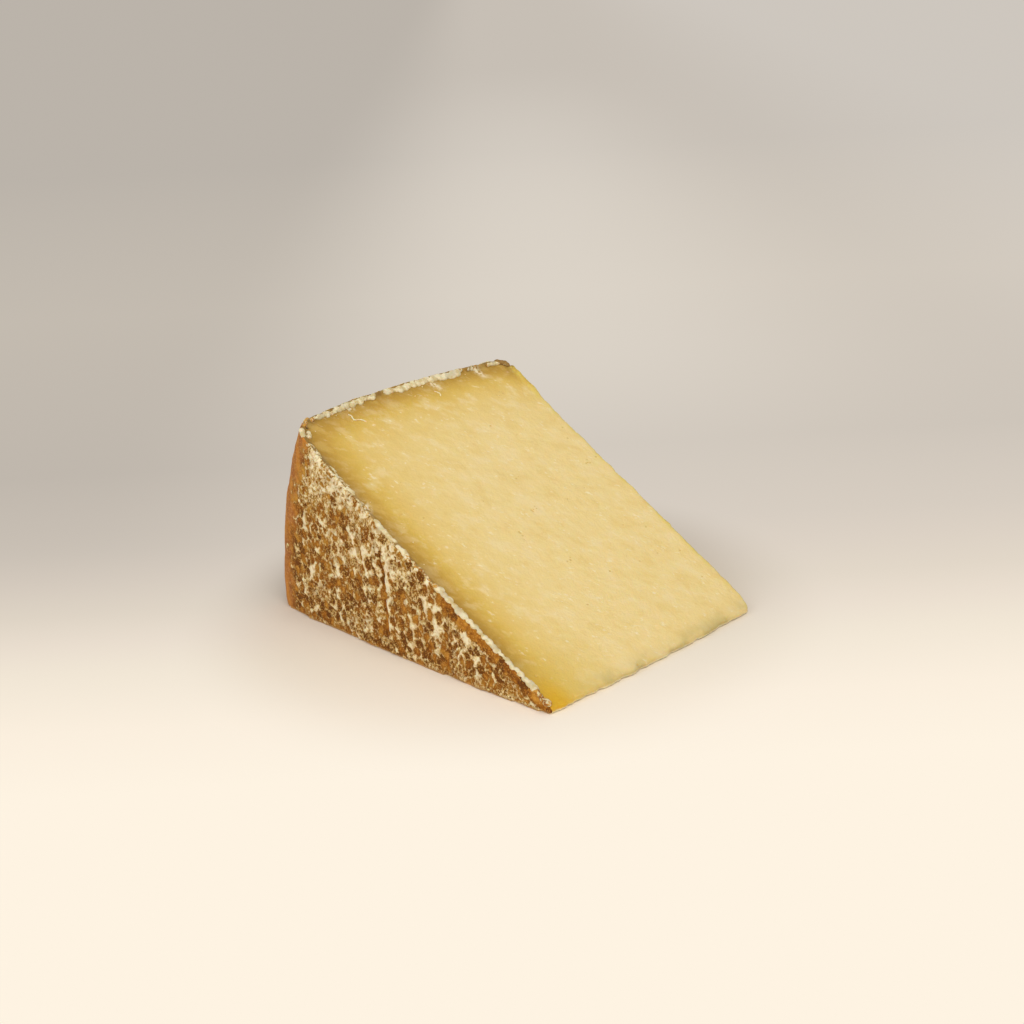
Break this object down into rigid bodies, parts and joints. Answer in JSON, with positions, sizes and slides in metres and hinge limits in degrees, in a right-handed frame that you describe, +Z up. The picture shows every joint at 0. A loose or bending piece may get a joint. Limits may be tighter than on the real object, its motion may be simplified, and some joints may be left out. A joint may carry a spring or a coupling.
{
  "type": "cantal cheese wedge",
  "caption": "Wedge of pressed cow's milk cheese cut from a large drum, with pale yellow paste and a thick mottled brown rind, lying on a cut face.",
  "frame": {"origin": "under the middle of the wedge's box, on the plane of the lower cut face that it rests on", "axes": "+Z up; -X towards the drum's curved side, +X towards the thin edge at the drum's axis; -Y towards the drum's flat rind end, +Y towards the plain cut end"},
  "size_m": [0.2008, 0.147, 0.1052],
  "materials": {
    "cheese": "moist pressed cheese paste, satin",
    "rind": "dry brushed rind with pale mould"
  },
  "bodies": {
    "root": {"cheese_wedge": "cheese"}
  },
  "joints": []
}
